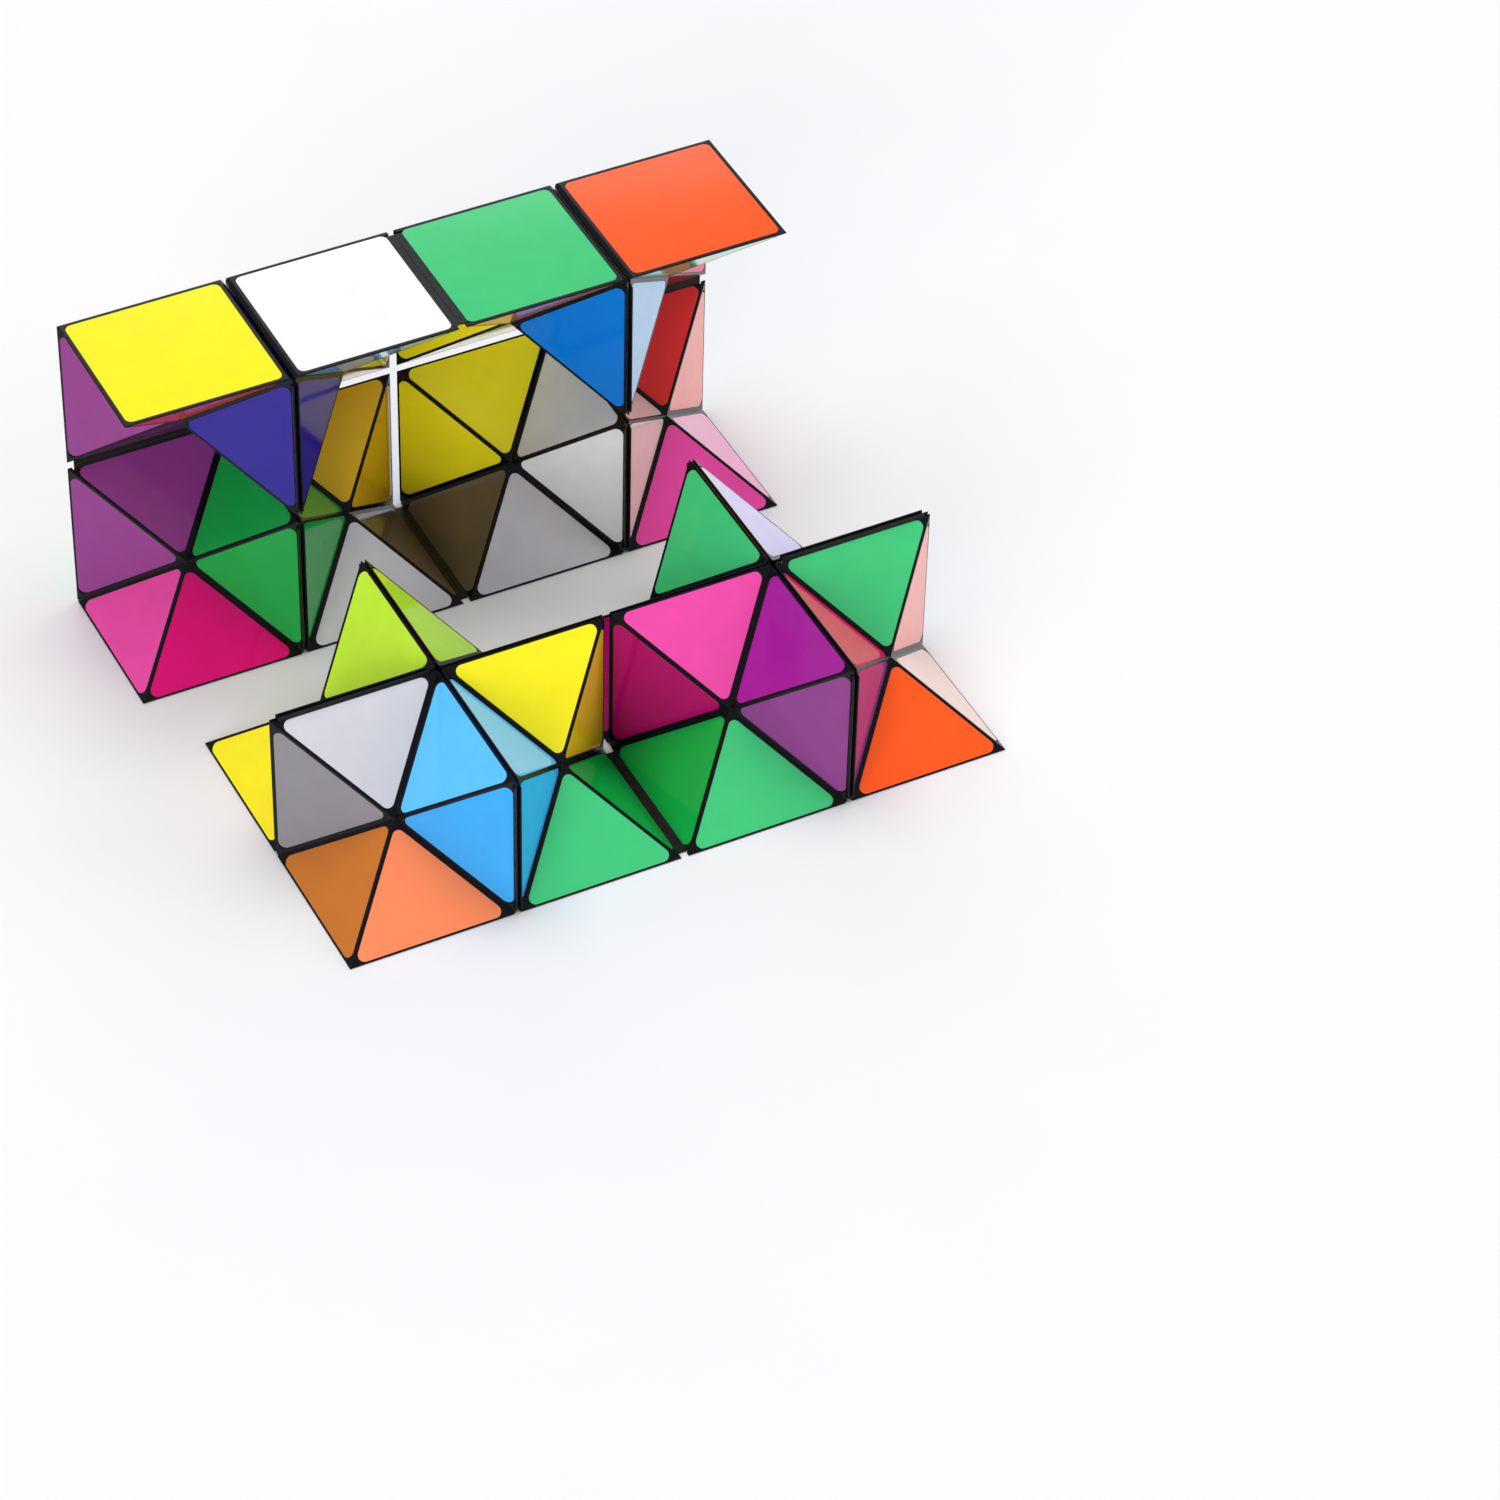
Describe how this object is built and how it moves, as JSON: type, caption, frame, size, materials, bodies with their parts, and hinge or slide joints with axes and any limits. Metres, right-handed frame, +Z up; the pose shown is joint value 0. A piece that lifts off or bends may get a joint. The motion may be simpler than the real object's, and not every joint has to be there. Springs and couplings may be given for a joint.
{
  "type": "folding star puzzle",
  "caption": "Hand-held folding puzzle in two star halves, each a closed ring of black half-cube units with coloured glossy labels on every face.",
  "frame": {"origin": "centre of the bounding box, on the surface that the halves stand on", "axes": "+X to the right along both halves, +Y to the back, from half B towards half A, +Z up"},
  "size_m": [0.1242, 0.1018, 0.0596],
  "materials": {
    "body_black": "glossy black moulded plastic",
    "film_black": "satin black hinge film",
    "label_yellow": "glossy coloured label",
    "label_white": "glossy coloured label",
    "label_green": "glossy coloured label",
    "label_leaf": "glossy coloured label",
    "label_lime": "glossy coloured label",
    "label_gold": "glossy coloured label",
    "label_orange": "glossy coloured label",
    "label_coral": "glossy coloured label",
    "label_amber": "glossy coloured label",
    "label_umber": "glossy coloured label",
    "label_red": "glossy coloured label",
    "label_crimson": "glossy coloured label",
    "label_maroon": "glossy coloured label",
    "label_salmon": "glossy coloured label",
    "label_blush": "glossy coloured label",
    "label_rose": "glossy coloured label",
    "label_pink": "glossy coloured label",
    "label_magenta": "glossy coloured label",
    "label_violet": "glossy coloured label",
    "label_plum": "glossy coloured label",
    "label_indigo": "glossy coloured label",
    "label_lavender": "glossy coloured label",
    "label_blue": "glossy coloured label",
    "label_azure": "glossy coloured label",
    "label_sky": "glossy coloured label",
    "label_ice": "glossy coloured label",
    "label_silver": "glossy coloured label",
    "label_grey": "glossy coloured label"
  },
  "bodies": {
    "a_middle_bottom": {"a_unit_6": "body_black", "a_film_5_6_leaf_6": "film_black", "a_film_6_7_leaf_6": "film_black", "a_unit_7": "body_black", "a_film_7_8_leaf_7": "film_black", "a_film_6_7_leaf_7": "film_black"},
    "a_left_bottom": {"a_unit_5": "body_black", "a_film_5_6_leaf_5": "film_black", "a_film_1_5_leaf_5": "film_black"},
    "a_right_bottom": {"a_unit_8": "body_black", "a_film_7_8_leaf_8": "film_black", "a_film_4_8_leaf_8": "film_black"},
    "a_left_top": {"a_unit_1": "body_black", "a_film_1_2_leaf_1": "film_black", "a_film_1_5_leaf_1": "film_black"},
    "a_right_top": {"a_unit_4": "body_black", "a_film_3_4_leaf_4": "film_black", "a_film_4_8_leaf_4": "film_black"},
    "a_middle_top": {"a_unit_2": "body_black", "a_film_1_2_leaf_2": "film_black", "a_film_2_3_leaf_2": "film_black", "a_unit_3": "body_black", "a_film_3_4_leaf_3": "film_black", "a_film_2_3_leaf_3": "film_black"},
    "b_back_left": {"b_unit_5": "body_black", "b_film_5_6_leaf_5": "film_black", "b_film_1_5_leaf_5": "film_black", "b_unit_6": "body_black", "b_film_5_6_leaf_6": "film_black", "b_film_6_7_leaf_6": "film_black"},
    "b_back_right": {"b_unit_7": "body_black", "b_film_7_8_leaf_7": "film_black", "b_film_6_7_leaf_7": "film_black", "b_unit_8": "body_black", "b_film_7_8_leaf_8": "film_black", "b_film_4_8_leaf_8": "film_black"},
    "b_front_left": {"b_unit_1": "body_black", "b_film_1_2_leaf_1": "film_black", "b_film_1_5_leaf_1": "film_black", "b_unit_2": "body_black", "b_film_1_2_leaf_2": "film_black", "b_film_2_3_leaf_2": "film_black"},
    "b_front_right": {"b_unit_3": "body_black", "b_film_3_4_leaf_3": "film_black", "b_film_2_3_leaf_3": "film_black", "b_unit_4": "body_black", "b_film_3_4_leaf_4": "film_black", "b_film_4_8_leaf_4": "film_black"}
  },
  "joints": [
    {"name": "a_left_end_swing", "type": "hinge", "parent": "a_middle_bottom", "child": "a_left_bottom", "pos_m": [-0.0327, 0.02078, 0.0298], "axis": [0, 0, 1], "range_deg": [0, 180]},
    {"name": "a_right_end_swing", "type": "hinge", "parent": "a_middle_bottom", "child": "a_right_bottom", "pos_m": [0.0273, 0.02078, 0.0298], "axis": [0, 0, -1], "range_deg": [0, 180]},
    {"name": "a_top_row_fold", "type": "hinge", "parent": "a_left_bottom", "child": "a_left_top", "pos_m": [-0.0477, 0.05078, 0.0298], "axis": [-1, 0, 0], "range_deg": [0, 180]},
    {"name": "a_top_row_fold_right", "type": "hinge", "parent": "a_right_bottom", "child": "a_right_top", "pos_m": [0.0423, 0.05078, 0.0298], "axis": [-1, 0, 0], "range_deg": [0, 180]},
    {"name": "a_top_left_end_swing", "type": "hinge", "parent": "a_left_top", "child": "a_middle_top", "pos_m": [-0.0327, 0.02078, 0.0298], "axis": [0, 0, -1], "range_deg": [0, 180]},
    {"name": "b_push_forward", "type": "slide", "parent": "a_middle_bottom", "child": "b_back_left", "axis": [0, -1, 0], "range_m": [0, 0.087]},
    {"name": "b_middle_fold", "type": "hinge", "parent": "b_back_left", "child": "b_back_right", "pos_m": [0.0027, -0.00622, -0.0002], "axis": [0, 1, 0], "range_deg": [0, 180]},
    {"name": "b_front_row_fold", "type": "hinge", "parent": "b_back_left", "child": "b_front_left", "pos_m": [-0.0423, -0.02122, 0.0298], "axis": [-1, 0, 0], "range_deg": [0, 180]},
    {"name": "b_front_row_fold_right", "type": "hinge", "parent": "b_back_right", "child": "b_front_right", "pos_m": [0.0477, -0.02122, 0.0298], "axis": [-1, 0, 0], "range_deg": [0, 180]}
  ],
  "couplings": [
    {"joint": "a_right_end_swing", "follows": "a_left_end_swing", "ratio": 1},
    {"joint": "a_top_left_end_swing", "follows": "a_left_end_swing", "ratio": 1},
    {"joint": "b_push_forward", "follows": "a_left_end_swing", "m_per_rad": 0.0275},
    {"joint": "a_top_row_fold_right", "follows": "a_top_row_fold", "ratio": 1},
    {"joint": "b_front_row_fold_right", "follows": "b_front_row_fold", "ratio": 1}
  ]
}
